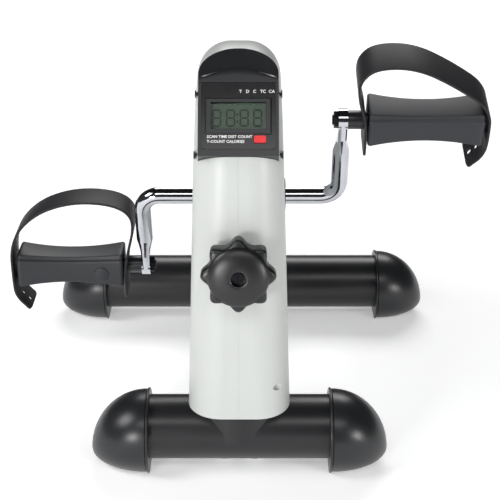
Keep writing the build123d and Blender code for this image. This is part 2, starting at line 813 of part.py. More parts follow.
with BuildPart() as monitor_screws:
    for side in SIDES.values():
        for (y, z), flank_x in zip(MONITOR_SCREWS, FLANK_XS):
            head_plane = Plane(origin=(side * flank_x, y, z), z_dir=(side, 0, 0))
            with BuildSketch(head_plane):
                Circle(1.5)
            extrude(amount=-5.5)
            with BuildSketch(head_plane):
                Circle(3)
            extrude(amount=0.8)

for piece, name in (
    (monitor_housing, "monitor_housing"),
    (monitor_face, "monitor_face"),
    (lcd_bezel, "lcd_bezel"),
    (lcd_lens, "lcd_lens"),
    (lcd_panel, "lcd_panel"),
    (circuit_board, "circuit_board"),
    (mode_button, "mode_button"),
    (battery, "battery"),
    (battery_contacts, "battery_contacts"),
    (monitor_back, "monitor_back"),
    (monitor_screws, "monitor_screws"),
):
    save(piece.part, name)


# ---------------------------------------------------------------- speed sensor and its cable
SENSOR_Y = -43.0
SENSOR_Z = 184.0
with BuildPart() as sensor:
    with Locations((PLATE_OUT + 3, SENSOR_Y, SENSOR_Z)):
        Box(6, 14, 16)
    fillet(sensor.edges().filter_by(Axis.X), 2)

CABLE_R = 1.2
CABLE_ROUTE = [
    (27.0, SENSOR_Y, SENSOR_Z + 8.2),
    (27.0, SENSOR_Y - 1, SENSOR_Z + 26),
    (24.0, -58.0, 228.0),
    (17.0, -74.0, 243.0),
    (11.0, -86.0, 256.0),
    (9.0, -93.0, 262.6),
]
with BuildPart() as sensor_cable:
    with BuildLine() as cable_path:
        FilletPolyline(*[Vector(*point) for point in CABLE_ROUTE], radius=8)
    with BuildSketch(Plane(origin=CABLE_ROUTE[0], z_dir=cable_path.line % 0)):
        Circle(CABLE_R)
    sweep(path=cable_path.line)

save(sensor.part, "sensor")
save(sensor_cable.part, "sensor_cable")


# ---------------------------------------------------------------- pedal axles, nuts and spacers
def along_axle(side, start, length, radius):
    """A plain cylinder on a pedal's axle."""
    with BuildPart() as rod:
        with BuildSketch(Plane(origin=axle_point(side, start), z_dir=(side, 0, 0))):
            Circle(radius)
        extrude(amount=length)
    return rod.part


def pedal_axle(side):
    """A shoulder bolt: thread in the crank, shoulder in the pedal, head in the pedal's outer end."""
    with BuildPart() as axle:
        add(along_axle(side, 74.3, 13, 4.0))
        add(along_axle(side, 86.5, 103.2, AXLE_R))
        add(along_axle(side, 189.6, 3.6, 7.0))
    return axle.part


with BuildPart() as pedal_nuts:
    for side in SIDES.values():
        with BuildSketch(Plane(origin=axle_point(side, 75.6), z_dir=(side, 0, 0))):
            RegularPolygon(7.2, 6)
            Circle(4.0, mode=Mode.SUBTRACT)
        extrude(amount=3.5)

with BuildPart() as pedal_spacers:
    for side in SIDES.values():
        with BuildSketch(Plane(origin=axle_point(side, 86.5), z_dir=(side, 0, 0))):
            Circle(7.5)
            Circle(AXLE_R, mode=Mode.SUBTRACT)
        extrude(amount=15.5)

for side_name, side in SIDES.items():
    save(pedal_axle(side), f"{side_name}_pedal_axle")
save(pedal_nuts.part, "pedal_nuts")
save(pedal_spacers.part, "pedal_spacers")


# ---------------------------------------------------------------- pedals and foot straps
STRAP_ROUTES = {
    "left": [
        (100.7, -26, None), (100.7, 6, 30), (91.8, 36, 25), (93.0, 56, 14), (112.0, 67.0, 35),
        (146.0, 68.5, 60), (178.0, 57.0, 45), (198.4, 28, 25), (198.4, -10, 30), (197.0, -24, 15),
        (185.0, -37, None),
    ],
    "right": [
        (100.7, -26, None), (100.7, 6, 30), (92.5, 34, 25), (93.5, 49, 14), (106.0, 60.5, 22),
        (136.0, 60.0, 60), (168.0, 42.0, 60), (196.8, 22, 20), (198.4, -6, 30), (197.0, -24, 15),
        (185.0, -37, None),
    ],
}


def pedal_planes(side, tilt):
    """Two planes through a pedal's axle: one facing the user, one facing up, both tilted with it."""
    angle = math.radians(tilt)
    centre = axle_point(side, 0)
    up = (0, math.sin(angle), math.cos(angle))
    near = (0, -math.cos(angle), math.sin(angle))
    return Plane(origin=centre, x_dir=(1, 0, 0), z_dir=near), Plane(origin=centre, x_dir=(1, 0, 0), z_dir=up)


def waisted(plane, side, half_height):
    """A face that runs along the pedal, drawn in at the middle of both long edges."""
    inner, outer = side * PEDAL_IN, side * PEDAL_OUT
    middle = (inner + outer) / 2
    waist = half_height - PEDAL_WAIST
    with BuildSketch(plane) as outline:
        with BuildLine():
            Line((inner, -half_height), (inner, half_height))
            ThreePointArc((inner, half_height), (middle, waist), (outer, half_height))
            Line((outer, half_height), (outer, -half_height))
            ThreePointArc((outer, -half_height), (middle, -waist), (inner, -half_height))
        make_face()
    return outline.sketch


def pedal_body(side, tilt):
    """A waisted moulded block, bored for its axle, with a peg for the strap at its outer end."""
    near_plane, up_plane = pedal_planes(side, tilt)
    with BuildPart() as pedal:
        extrude(waisted(near_plane, side, PEDAL_HALF_Z), amount=40, both=True)
        extrude(waisted(up_plane, side, PEDAL_HALF_Y), amount=40, both=True, mode=Mode.INTERSECT)
        long_edges = pedal.edges().filter_by(lambda edge: edge.length > 80)
        fillet(long_edges, 7)
        peg = axle_point(side, PEDAL_OUT - 0.5) + up_plane.z_dir * PEG_Z
        with BuildSketch(Plane(origin=peg, z_dir=(side, 0, 0))):
            Circle(2.3)
        extrude(amount=6)
        with BuildSketch(Plane(origin=peg + Vector(side * 5.9, 0, 0), z_dir=(side, 0, 0))):
            Circle(3.4)
        extrude(amount=1.0)
        add(along_axle(side, PEDAL_IN - 1, 100, AXLE_R + FIT), mode=Mode.SUBTRACT)
        add(along_axle(side, PEDAL_OUT - 5, 10, 7.6), mode=Mode.SUBTRACT)
    return pedal.part


def foot_strap(side, tilt, route):
    """A flat rubber band from the pedal's inner end, over the foot, to the peg at its outer end."""
    near_plane, up_plane = pedal_planes(side, tilt)
    points = [near_plane.from_local_coords(Vector(side * x, z, 0)) for x, z, _ in route]
    radii = [radius for _, _, radius in route if radius]
    with BuildPart() as strap:
        with BuildLine() as path:
            FilletPolyline(*points, radius=radii)
        with BuildSketch(Plane(origin=points[0], x_dir=(1, 0, 0), z_dir=path.line % 0)):
            Rectangle(STRAP_THICK, STRAP_WIDTH)
        sweep(path=path.line)
        add(along_axle(side, 95, 7.4, 8.3), mode=Mode.SUBTRACT)
        peg = axle_point(side, PEDAL_OUT) + up_plane.z_dir * PEG_Z
        with BuildSketch(Plane(origin=peg, z_dir=(side, 0, 0))):
            Circle(2.5)
        extrude(amount=10, mode=Mode.SUBTRACT)
    return strap.part


for side_name, side in SIDES.items():
    save(pedal_body(side, PEDAL_TILTS[side_name]), f"{side_name}_pedal")
    save(foot_strap(side, PEDAL_TILTS[side_name], STRAP_ROUTES[side_name]), f"{side_name}_strap")
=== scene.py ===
"""Looks for a pedal exerciser: fine shapes, materials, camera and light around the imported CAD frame."""
import json
import math

import bmesh
import bpy
from mathutils import Matrix, Vector


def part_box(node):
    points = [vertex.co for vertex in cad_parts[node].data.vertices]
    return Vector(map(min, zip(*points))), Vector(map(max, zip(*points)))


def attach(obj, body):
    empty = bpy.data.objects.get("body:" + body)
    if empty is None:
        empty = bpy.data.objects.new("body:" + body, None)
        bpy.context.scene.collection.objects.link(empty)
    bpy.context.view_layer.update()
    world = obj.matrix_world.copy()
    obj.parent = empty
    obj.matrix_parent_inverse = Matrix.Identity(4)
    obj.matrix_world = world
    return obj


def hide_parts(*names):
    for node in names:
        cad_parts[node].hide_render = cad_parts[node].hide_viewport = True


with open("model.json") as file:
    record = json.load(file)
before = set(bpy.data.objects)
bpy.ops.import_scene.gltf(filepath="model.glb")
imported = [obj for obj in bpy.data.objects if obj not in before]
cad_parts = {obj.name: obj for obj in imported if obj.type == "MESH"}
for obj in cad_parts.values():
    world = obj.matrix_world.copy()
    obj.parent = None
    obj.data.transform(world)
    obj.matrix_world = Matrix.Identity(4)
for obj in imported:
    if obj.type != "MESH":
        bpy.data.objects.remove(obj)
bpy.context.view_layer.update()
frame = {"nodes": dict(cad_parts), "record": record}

MM = 0.001


# ------------------------------------------------------------------ camera, floor and studio light
# The exerciser stands on a seamless pale sweep, seen by someone standing in front of it and looking down.
# A low world light fills the shadows; large soft boxes give the black plastic its broad, soft highlights.
def deselect():
    """Leave object mode clean: nothing selected, so that the next operator acts on new work only."""
    if bpy.context.mode != "OBJECT":
        bpy.ops.object.mode_set(mode="OBJECT")
    bpy.ops.object.select_all(action="DESELECT")


def linear(code):
    """Turn an sRGB hex code such as d5d8d5 into Blender's linear colour."""
    values = [int(code[i:i + 2], 16) / 255 for i in (0, 2, 4)]
    return [v / 12.92 if v <= 0.04045 else ((v + 0.055) / 1.055) ** 2.4 for v in values] + [1.0]


def add_node(material, kind, inputs=None, **settings):
    """Add one node; inputs maps a socket's name or number to a value or to another node's output."""
    node = material.node_tree.nodes.new(kind)
    for name, value in settings.items():
        setattr(node, name, value)
    for socket, value in (inputs or {}).items():
        if isinstance(value, bpy.types.NodeSocket):
            material.node_tree.links.new(value, node.inputs[socket])
        else:
            node.inputs[socket].default_value = value
    return node


def new_material(name):
    """An empty node material, and its output node."""
    material = bpy.data.materials.new(name)
    material.use_nodes = True
    material.node_tree.nodes.clear()
    return material, material.node_tree.nodes.new("ShaderNodeOutputMaterial")


CAMERA_AT, CAMERA_PITCH = (0.0084, -0.9659, 0.5798), math.radians(65)
CAMERA_LENS, CAMERA_SENSOR = 89.93, 36
FLOOR_SIZE, FLOOR_GLOW = 6, 0.34
SKY_LOW, SKY_HIGH = 0.15, 0.75
SKY_BRIGHT, SKY_DIM = 0.95, 0.22

deselect()
bpy.ops.object.camera_add(location=CAMERA_AT, rotation=(CAMERA_PITCH, 0, 0))
camera = bpy.context.object
camera.data.lens = CAMERA_LENS
camera.data.sensor_width = CAMERA_SENSOR
bpy.context.scene.camera = camera
bpy.context.scene.view_settings.view_transform = "Standard"

# Matt seamless paper, nearly white and very faintly clouded.
deselect()
bpy.ops.mesh.primitive_plane_add(size=FLOOR_SIZE, location=(0, 0, 0))
floor = bpy.context.object
floor.name = "floor_sweep"
paper, paper_out = new_material("matt_white_paper")
paper_cloud = add_node(paper, "ShaderNodeTexNoise", {"Scale": 30.0, "Detail": 3.0})
paper_tone = add_node(paper, "ShaderNodeMix",
                      {"Factor": paper_cloud.outputs["Fac"], "A": linear("fafafb"), "B": linear("fdfdfd")},
                      data_type="RGBA")
paper_shader = add_node(paper, "ShaderNodeBsdfPrincipled",
                        {"Base Color": paper_tone.outputs["Result"], "Roughness": 0.9, "Specular IOR Level": 0.0,
                         "Emission Color": linear("ffffff"), "Emission Strength": FLOOR_GLOW})
paper.node_tree.links.new(paper_shader.outputs["BSDF"], paper_out.inputs["Surface"])
floor.data.materials.append(paper)

# The world is bright low down, like the studio's walls, and falls off overhead.
world = bpy.data.worlds.new("studio")
world.use_nodes = True
sky_place = add_node(world, "ShaderNodeTexCoord")
sky_split = add_node(world, "ShaderNodeSeparateXYZ", {"Vector": sky_place.outputs["Generated"]})
sky_fall = add_node(world, "ShaderNodeMapRange",
                    {"Value": sky_split.outputs["Z"], "From Min": SKY_LOW, "From Max": SKY_HIGH,
                     "To Min": SKY_BRIGHT, "To Max": SKY_DIM})
world.node_tree.links.new(sky_fall.outputs["Result"], world.node_tree.nodes["Background"].inputs["Strength"])
bpy.context.scene.world = world


def soft_box(name, place, aim, size, watts):
    """A soft box at a place, turned to face its aim; its size is its width and height."""
    deselect()
    turn = (Vector(aim) - Vector(place)).to_track_quat("-Z", "Y").to_euler()
    bpy.ops.object.light_add(type="AREA", location=place, rotation=turn)
    lamp = bpy.context.object
    lamp.name = name
    lamp.data.shape = "RECTANGLE"
    lamp.data.size, lamp.data.size_y = size
    lamp.data.energy = watts


soft_box("low_left_box", (-0.75, -1.55, 0.34), (0, -0.05, 0.1), (0.34, 0.34), 11)
soft_box("low_right_box", (1.25, -1.15, 0.34), (0, -0.05, 0.1), (0.34, 0.34), 8)
soft_box("left_box", (-1.1, -0.5, 1.1), (0, 0, 0.15), (0.6, 0.6), 10)
soft_box("high_front_box", (0.1, -1.25, 1.35), (0, 0, 0.15), (1.5, 0.35), 7)
soft_box("rear_box", (0.2, 1.5, 1.5), (0, 0.1, 0.0), (1.6, 0.8), 24)


# ------------------------------------------------------------------ floor tubes, posts and frame plates
# Round and oval mild steel tube and 3 mm plate, welded and bolted, then sprayed with satin black powder.
# The powder melts into a faintly pebbled skin, so the long highlights along the tubes have soft edges.
SKIN_RELIEF = 0.2 * MM


def finish(material, *nodes):
    """Give CAD nodes this material."""
    for name in nodes:
        node = frame["nodes"][name]
        node.data.materials.clear()
        node.data.materials.append(material)


def moulded(name, colours, cloud, gloss, grain, bump, ior, edge_highlight=None):
    """A moulded or sprayed skin: tone and gloss drift slowly, under an even fine grain.

    cloud is the drift's scale, detail and roughness; gloss is the range of roughness; grain is its size in mm
    and its detail; the last argument paints a highlight along sharp edges: its colour and the pointedness at which
    it starts and is full.
    """
    material, output = new_material(name)
    place = add_node(material, "ShaderNodeTexCoord")
    drift = add_node(material, "ShaderNodeTexNoise",
                     {"Vector": place.outputs["Object"], "Scale": cloud[0], "Detail": cloud[1],
                      "Roughness": cloud[2]})
    tone = add_node(material, "ShaderNodeMix",
                    {"Factor": drift.outputs["Fac"], "A": linear(colours[0]), "B": linear(colours[1])},
                    data_type="RGBA")
    if edge_highlight:
        # Sharp edges are painted paler by pointiness: a painted edge highlight mixed into the tone.
        edges = add_node(material, "ShaderNodeNewGeometry")
        tone_shift = add_node(material, "ShaderNodeMapRange",
                        {"Value": edges.outputs["Pointiness"], "From Min": edge_highlight[1], "From Max": edge_highlight[2]})
        tone = add_node(material, "ShaderNodeMix",
                        {"Factor": tone_shift.outputs["Result"], "A": tone.outputs["Result"], "B": linear(edge_highlight[0])},
                        data_type="RGBA")
    sheen = add_node(material, "ShaderNodeMapRange",
                     {"Value": drift.outputs["Fac"], "To Min": gloss[0], "To Max": gloss[1]})
    pebble = add_node(material, "ShaderNodeTexNoise",
                      {"Vector": place.outputs["Object"], "Scale": 1000.0 / grain[0], "Detail": grain[1]})
    relief = add_node(material, "ShaderNodeBump",
                      {"Height": pebble.outputs["Fac"], "Strength": bump, "Distance": SKIN_RELIEF})
    shader = add_node(material, "ShaderNodeBsdfPrincipled",
                      {"Base Color": tone.outputs["Result"], "Roughness": sheen.outputs["Result"],
                       "Normal": relief.outputs["Normal"], "IOR": ior})
    material.node_tree.links.new(shader.outputs["BSDF"], output.inputs["Surface"])
    return material


powder = moulded("powder_coated_steel_black", ("141416", "1c1c1f"), cloud=(22.0, 4.0, 0.5), gloss=(0.30, 0.40),
                 grain=(1.4, 2.0), bump=0.12, ior=1.5)
finish(powder, "front_base_tube", "rear_base_tube", "front_post", "rear_post", "left_frame_plate",
       "right_frame_plate", "bearing_cups", "brake_bracket", "monitor_screws")


# ------------------------------------------------------------------ end caps
# Hollow domes injection moulded in black polypropylene and pushed over the tube ends, with a thin bead round
# the rim and a flat sole. The tool was polished, so each dome carries one clear soft highlight.
SMOOTH_ANGLE = math.radians(38)


def lofted(name, outlines):
    """Pull a loop of vertices out from outline to outline, and close both ends."""
    deselect()
    bpy.ops.mesh.primitive_circle_add(vertices=len(outlines[0]), radius=0.01)
    piece = bpy.context.object
    piece.name = name
    piece.data.name = name
    bpy.ops.object.mode_set(mode="EDIT")
    mesh = bmesh.from_edit_mesh(piece.data)
    loop = {vert.index: number for number, vert in enumerate(mesh.verts)}
    for vert, point in zip(mesh.verts, outlines[0]):
        vert.co = point
    bpy.ops.mesh.select_all(action="SELECT")
    bpy.ops.mesh.edge_face_add()
    bpy.ops.mesh.select_all(action="SELECT")
    for outline in outlines[1:]:
        bpy.ops.mesh.extrude_region_move()
        mesh = bmesh.from_edit_mesh(piece.data)
        mesh.verts.index_update()
        pulled = {}
        for vert in mesh.verts:
            if vert.select:
                partner = next(edge.other_vert(vert) for edge in vert.link_edges
                               if edge.other_vert(vert).index in loop and not edge.other_vert(vert).select)
                pulled[vert] = loop[partner.index]
        for vert, number in pulled.items():
            vert.co = outline[number]
        loop = {vert.index: number for vert, number in pulled.items()}
        bmesh.update_edit_mesh(piece.data)
    bpy.ops.mesh.select_all(action="SELECT")
    bpy.ops.mesh.normals_make_consistent(inside=False)
    bpy.ops.object.mode_set(mode="OBJECT")
    bpy.ops.object.shade_smooth_by_angle(angle=SMOOTH_ANGLE)
    return piece


TUBE_R, TUBE_Z = 25.5, 32.0
CAP_FIT, CAP_SOCKET = 0.02, 8.0
CAP_LENGTH, CAP_R, CAP_RIM_Z, CAP_TOE_Z = 47.0, 33.0, 28.4, 13.4
CAP_BEAD = [(0.0, 33.0), (0.2, 33.7), (0.8, 34.0), (1.5, 33.9), (2.0, 33.3), (2.3, 32.7)]
CAP_DOME_FROM, CAP_STATIONS, CAP_TURNS = 2.6, 26, 96
SOLE_CROWN = 0.004


def cap_outlines(rim_x, side, y):
    """Circles from the socket's floor out round the bead and over the dome to its toe, cut flat at the floor."""
    rings = [(CAP_SOCKET, TUBE_R + CAP_FIT, TUBE_Z), (0.0, TUBE_R + CAP_FIT, TUBE_Z)]
    rings += [(x, radius, CAP_RIM_Z) for x, radius in CAP_BEAD]
    for station in range(CAP_STATIONS):
        angle = math.pi / 2 * station / CAP_STATIONS
        share = math.cos(angle)
        rings.append((CAP_DOME_FROM + (CAP_LENGTH - CAP_DOME_FROM) * math.sin(angle), share * CAP_R,
                      CAP_TOE_Z + share * (CAP_RIM_Z - CAP_TOE_Z)))
    outlines = []
    for x, radius, centre_z in rings:
        outline = []
        for step in range(CAP_TURNS):
            turn = 2 * math.pi * step / CAP_TURNS
            high = max(centre_z + radius * math.sin(turn), SOLE_CROWN * radius)
            outline.append(Vector((rim_x + side * x, y + radius * math.cos(turn), high)) * MM)
        outlines.append(outline)
    return outlines


cap_plastic = moulded("moulded_polypropylene_black", ("18191b", "222326"), cloud=(26.0, 4.0, 0.6),
                      gloss=(0.28, 0.38), grain=(0.9, 2.0), bump=0.08, ior=1.49)

for row in ("front", "rear"):
    for side_name, side in (("left", -1), ("right", 1)):
        cap_node = f"{row}_{side_name}_cap"
        cap_low, cap_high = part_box(cap_node)
        toe_x = (cap_high[0] if side > 0 else cap_low[0]) / MM
        rim_x = side * (round(abs(toe_x)) - CAP_LENGTH)
        middle_y = (cap_low[1] + cap_high[1]) / 2 / MM
        dome = lofted(f"{cap_node}_dome", cap_outlines(rim_x, side, middle_y))
        dome.data.materials.append(cap_plastic)
        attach(dome, "root")
        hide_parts(cap_node)


# ------------------------------------------------------------------ bolts, rivets, bearings and brake iron
# Bright zinc-plated screws, rivets, pins and spacers, ground bearing rings, and a turned cast iron drum.
# Zinc is pale and slightly blue with a soft gloss; the iron is a darker, duller grey with a finer grain.
METAL_RELIEF = 0.1 * MM


def plated(name, colour, pale, roughness, grain_mm):
    """A bare or plated metal whose gloss and tone wander over its fine grain."""
    material, output = new_material(name)
    place = add_node(material, "ShaderNodeTexCoord")
    tone_shift = add_node(material, "ShaderNodeTexNoise",
                    {"Vector": place.outputs["Object"], "Scale": 60.0, "Detail": 4.0})
    gloss = add_node(material, "ShaderNodeMapRange",
                     {"Value": tone_shift.outputs["Fac"], "To Min": roughness * 0.7, "To Max": roughness * 1.3})
    tone = add_node(material, "ShaderNodeMix",
                    {"Factor": tone_shift.outputs["Fac"], "A": linear(colour), "B": linear(pale)}, data_type="RGBA")
    grain = add_node(material, "ShaderNodeTexNoise",
                     {"Vector": place.outputs["Object"], "Scale": 1000.0 / grain_mm, "Detail": 2.0})
    relief = add_node(material, "ShaderNodeBump",
                      {"Height": grain.outputs["Fac"], "Strength": 0.06, "Distance": METAL_RELIEF})
    shader = add_node(material, "ShaderNodeBsdfPrincipled",
                      {"Base Color": tone.outputs["Result"], "Metallic": 1.0,
                       "Roughness": gloss.outputs["Result"], "Normal": relief.outputs["Normal"]})
    material.node_tree.links.new(shader.outputs["BSDF"], output.inputs["Surface"])
    return material


zinc = plated("zinc_plated_steel", "a9abb0", "c4c6ca", 0.30, 0.8)
finish(zinc, "nut_plates", "base_bolts", "frame_spacers", "frame_rivets", "shell_screws", "crank_sleeve",
       "crank_pins", "screw_rings", "battery_contacts", "drum_magnet")
finish(plated("ground_bearing_steel", "b4b4b8", "d2d2d6", 0.18, 0.6), "bearing_balls", "left_bearing_outer",
       "right_bearing_outer", "left_bearing_inner", "right_bearing_inner")
finish(plated("turned_cast_iron", "6c6c70", "88888b", 0.45, 0.5), "drum")
black_oxide = plated("black_oxide_steel", "1b1b1e", "2d2d31", 0.38, 0.6)
finish(black_oxide, "brake_screw", "left_pedal_axle", "right_pedal_axle", "pedal_nuts")


# ------------------------------------------------------------------ body shells
# Two halves injection moulded in light grey ABS, screwed together from the right along the middle plane.
# The satin tool texture hides flow marks; it reads as an even, neutral pale grey with soft edges.
shell_plastic = moulded("moulded_abs_light_grey", ("bdc0bd", "c5c8c5"), cloud=(9.0, 3.0, 0.5), gloss=(0.33, 0.42),
                        grain=(0.9, 2.0), bump=0.05, ior=1.54)
finish(shell_plastic, "left_shell", "right_shell")


# ------------------------------------------------------------------ crank
# A 14 mm steel bar bent cold, its ends pressed flat and drilled, then polished and chrome plated.
# Chrome is a near mirror: it shows the pale studio broken by dark streaks that follow the bends. The bushes and
# spacers, the sensor, the shoe's carrier and the display's housing are of the end caps' black plastic.
CHROME_RIPPLE = 0.6 * MM
chrome, chrome_out = new_material("chrome_plated_bar")
chrome_place = add_node(chrome, "ShaderNodeTexCoord")
chrome_haze = add_node(chrome, "ShaderNodeTexNoise",
                       {"Vector": chrome_place.outputs["Object"], "Scale": 45.0, "Detail": 3.0})
chrome_gloss = add_node(chrome, "ShaderNodeMapRange",
                        {"Value": chrome_haze.outputs["Fac"], "To Min": 0.05, "To Max": 0.13})
chrome_tone = add_node(chrome, "ShaderNodeMix",
                       {"Factor": chrome_haze.outputs["Fac"], "A": linear("b9bbc2"), "B": linear("d3d5da")},
                       data_type="RGBA")
chrome_ripple = add_node(chrome, "ShaderNodeTexNoise",
                         {"Vector": chrome_place.outputs["Object"], "Scale": 90.0, "Detail": 1.0})
chrome_relief = add_node(chrome, "ShaderNodeBump",
                         {"Height": chrome_ripple.outputs["Fac"], "Strength": 0.12, "Distance": CHROME_RIPPLE})
chrome_shader = add_node(chrome, "ShaderNodeBsdfPrincipled",
                         {"Base Color": chrome_tone.outputs["Result"], "Metallic": 1.0,
                          "Roughness": chrome_gloss.outputs["Result"], "Normal": chrome_relief.outputs["Normal"]})
chrome.node_tree.links.new(chrome_shader.outputs["BSDF"], chrome_out.inputs["Surface"])
finish(chrome, "left_crank_arm", "right_crank_arm")
finish(cap_plastic, "left_crank_bush", "right_crank_bush", "pedal_spacers", "knob_bush", "shoe_carrier",
       "sensor", "monitor_back", "monitor_housing", "lcd_bezel")


# ------------------------------------------------------------------ tension knob
# A lobed hand knob moulded in black nylon round the brake screw, with a shallow domed disc on its front and
# a round recess over the screw's end. The real disc is a little glossier than the gripping lobes; here the whole
# knob shares one material.
joints = {joint["name"]: joint for joint in frame["record"]["behaviour"]["joints"]}
KNOB_SIDES, KNOB_LOBE_COUNT = 128, 8
LOBE_ROOT_R, LOBE_RISE, LOBE_SHARPNESS = 22.6, 4.9, 1.25
KNOB_BACK = [(4.6, 8.0), (4.6, 11.0), (7.0, 11.2)]
KNOB_LOBES = [(7.0, 0.90), (7.5, 0.955), (8.6, 1.0), (14.0, 1.0), (19.6, 1.0), (20.8, 0.965), (21.3, 0.93)]
KNOB_DISC = [(21.6, 22.3), (22.4, 22.5), (23.4, 22.0), (24.6, 20.6), (25.9, 18.2), (27.0, 14.6), (27.7, 10.5),
             (28.0, 7.2), (27.9, 6.2), (27.4, 5.6), (26.4, 5.45), (22.6, 5.4), (22.5, 4.0)]


def knob_ring(height, radius_at):
    """One closed ring of the knob, its radius given for each turn about the screw."""
    turns = [2 * math.pi * step / KNOB_SIDES for step in range(KNOB_SIDES)]
    return [Vector((radius_at(t) * math.cos(t), radius_at(t) * math.sin(t), height)) * MM for t in turns]


def lobe_radius(turn):
    """Round lobes with shallow hollows between them."""
    wave = 0.5 + 0.5 * math.cos(KNOB_LOBE_COUNT * turn)
    return LOBE_ROOT_R + LOBE_RISE * wave ** LOBE_SHARPNESS


def settle(piece, place):
    """Move a finished piece from the origin to its place, and keep that place in its mesh."""
    piece.matrix_world = place @ piece.matrix_world
    deselect()
    piece.select_set(True)
    bpy.context.view_layer.objects.active = piece
    bpy.ops.object.transform_apply(location=True, rotation=True, scale=True)


knob_rings = [knob_ring(height, lambda t, r=radius: r) for height, radius in KNOB_BACK]
knob_rings += [knob_ring(height, lambda t, s=share: s * lobe_radius(t)) for height, share in KNOB_LOBES]
knob_rings += [knob_ring(height, lambda t, r=radius: r) for height, radius in KNOB_DISC]
hand_knob = lofted("hand_knob", knob_rings)
knob_out = -Vector(joints["knob_turn"]["axis"])
knob_up = knob_out.cross(Vector((1, 0, 0)))
knob_frame = Matrix((Vector((1, 0, 0)), knob_up, knob_out)).transposed().to_4x4()
settle(hand_knob, Matrix.Translation(joints["knob_turn"]["pos_m"]) @ knob_frame)

knob_nylon = moulded("moulded_nylon_black", ("0e0e10", "17171a"), cloud=(55.0, 4.0, 0.5), gloss=(0.30, 0.42),
                     grain=(0.7, 2.0), bump=0.12, ior=1.53)
hand_knob.data.materials.append(knob_nylon)
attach(hand_knob, "knob")
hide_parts("knob")


# ------------------------------------------------------------------ brake pad
# A block of grey pressed wool felt glued to its carrier; it touches the drum when the knob is turned in.
# Felt is matt and mottled; its fine wool fibres are drawn about 0.7 mm coarse, so that they show.
FELT_FIBRES_PER_M, FELT_RELIEF = 1400.0, 0.4 * MM
felt, felt_out = new_material("pressed_wool_felt")
felt_place = add_node(felt, "ShaderNodeTexCoord")
felt_fibre = add_node(felt, "ShaderNodeTexNoise",
                      {"Vector": felt_place.outputs["Object"], "Scale": FELT_FIBRES_PER_M, "Detail": 6.0})
felt_tone = add_node(felt, "ShaderNodeMix",
                     {"Factor": felt_fibre.outputs["Fac"], "A": linear("524e48"), "B": linear("7b766c")},
                     data_type="RGBA")
felt_relief = add_node(felt, "ShaderNodeBump",
                       {"Height": felt_fibre.outputs["Fac"], "Strength": 0.6, "Distance": FELT_RELIEF})
felt_shader = add_node(felt, "ShaderNodeBsdfPrincipled",
                       {"Base Color": felt_tone.outputs["Result"], "Roughness": 0.95, "Sheen Weight": 0.3,
                        "Normal": felt_relief.outputs["Normal"]})
felt.node_tree.links.new(felt_shader.outputs["BSDF"], felt_out.inputs["Surface"])
finish(felt, "brake_pad")


# ------------------------------------------------------------------ display
# A black ABS housing with a polished face plate, a bevelled frame round a reflective grey-green liquid
# crystal, printed white function marks, and one red push button. The sensor's cable plugs in behind.
DYED_RELIEF = 0.1 * MM


def dyed(name, dark, light, roughness, scale, bump, **shader_values):
    """A small moulded or coated part: mottled tone and gloss under a fine relief."""
    material, output = new_material(name)
    place = add_node(material, "ShaderNodeTexCoord")
    mottle = add_node(material, "ShaderNodeTexNoise",
                      {"Vector": place.outputs["Object"], "Scale": scale, "Detail": 4.0})
    tone = add_node(material, "ShaderNodeMix",
                    {"Factor": mottle.outputs["Fac"], "A": linear(dark), "B": linear(light)}, data_type="RGBA")
    gloss = add_node(material, "ShaderNodeMapRange",
                     {"Value": mottle.outputs["Fac"], "To Min": roughness * 0.85, "To Max": roughness * 1.15})
    relief = add_node(material, "ShaderNodeBump",
                      {"Height": mottle.outputs["Fac"], "Strength": bump, "Distance": DYED_RELIEF})
    shader = add_node(material, "ShaderNodeBsdfPrincipled",
                      {"Base Color": tone.outputs["Result"], "Roughness": gloss.outputs["Result"],
                       "Normal": relief.outputs["Normal"]})
    for socket, value in shader_values.items():
        shader.inputs[socket.replace("_", " ")].default_value = value
    material.node_tree.links.new(shader.outputs["BSDF"], output.inputs["Surface"])
    return material


face_plastic = dyed("polished_abs_black", "0c0c0e", "131316", 0.2, 120.0, 0.03)
finish(face_plastic, "monitor_face")
finish(dyed("clear_acrylic", "eef2ee", "f6f8f6", 0.04, 80.0, 0.0, Transmission_Weight=1.0, IOR=1.2),
       "lcd_lens")
finish(dyed("liquid_crystal_grey_green", "4b5a4e", "56665a", 0.35, 300.0, 0.02), "lcd_panel")
finish(dyed("solder_mask_green", "184a29", "1f5a33", 0.35, 400.0, 0.05), "circuit_board")
finish(dyed("moulded_abs_red", "d0161a", "e32024", 0.32, 200.0, 0.04), "mode_button")
finish(dyed("printed_shrink_sleeve", "16181c", "24262b", 0.3, 150.0, 0.04), "battery")
finish(dyed("extruded_pvc_cable_black", "151517", "202023", 0.5, 500.0, 0.1), "sensor_cable")

face_in = Vector(joints["button_press"]["axis"])
face_out = -face_in
face_up = face_out.cross(Vector((1, 0, 0)))
face_box_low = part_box("monitor_face")[0]
FACE_EDGE, FACE_THICK = 5.2, 1.2
face_origin = Vector((
    0,
    face_box_low[1] - FACE_EDGE * MM * face_up.y,
    face_box_low[2] + FACE_THICK * MM * face_out.z - FACE_EDGE * MM * face_up.z,
))
face_turn = Matrix((Vector((1, 0, 0)), face_up, face_out)).transposed().to_4x4()
face_frame = Matrix.Translation(face_origin) @ face_turn

SEGMENT_LONG, SEGMENT_HALF, SEGMENT_POINT = 5.6, 0.62, 0.8
DIGIT_HIGH = 5.9
DIGIT_CENTRES = (-15.6, -5.6, 4.2, 14.0)
DIGIT_V = 28.4
LCD_SURFACE, LCD_INK, LCD_MARK_LIFT = -0.98, 0.04, 0.03
SAME_X = 1e-7
COLON_U, COLON_VS, COLON_R = -0.7, (-2.6, 2.6), 0.85
ARROW_US, ARROW_V, ARROW_R = (-9, -4.6, -0.2, 4.2, 8.6, 13.0, 16.6), 38.3, 0.8


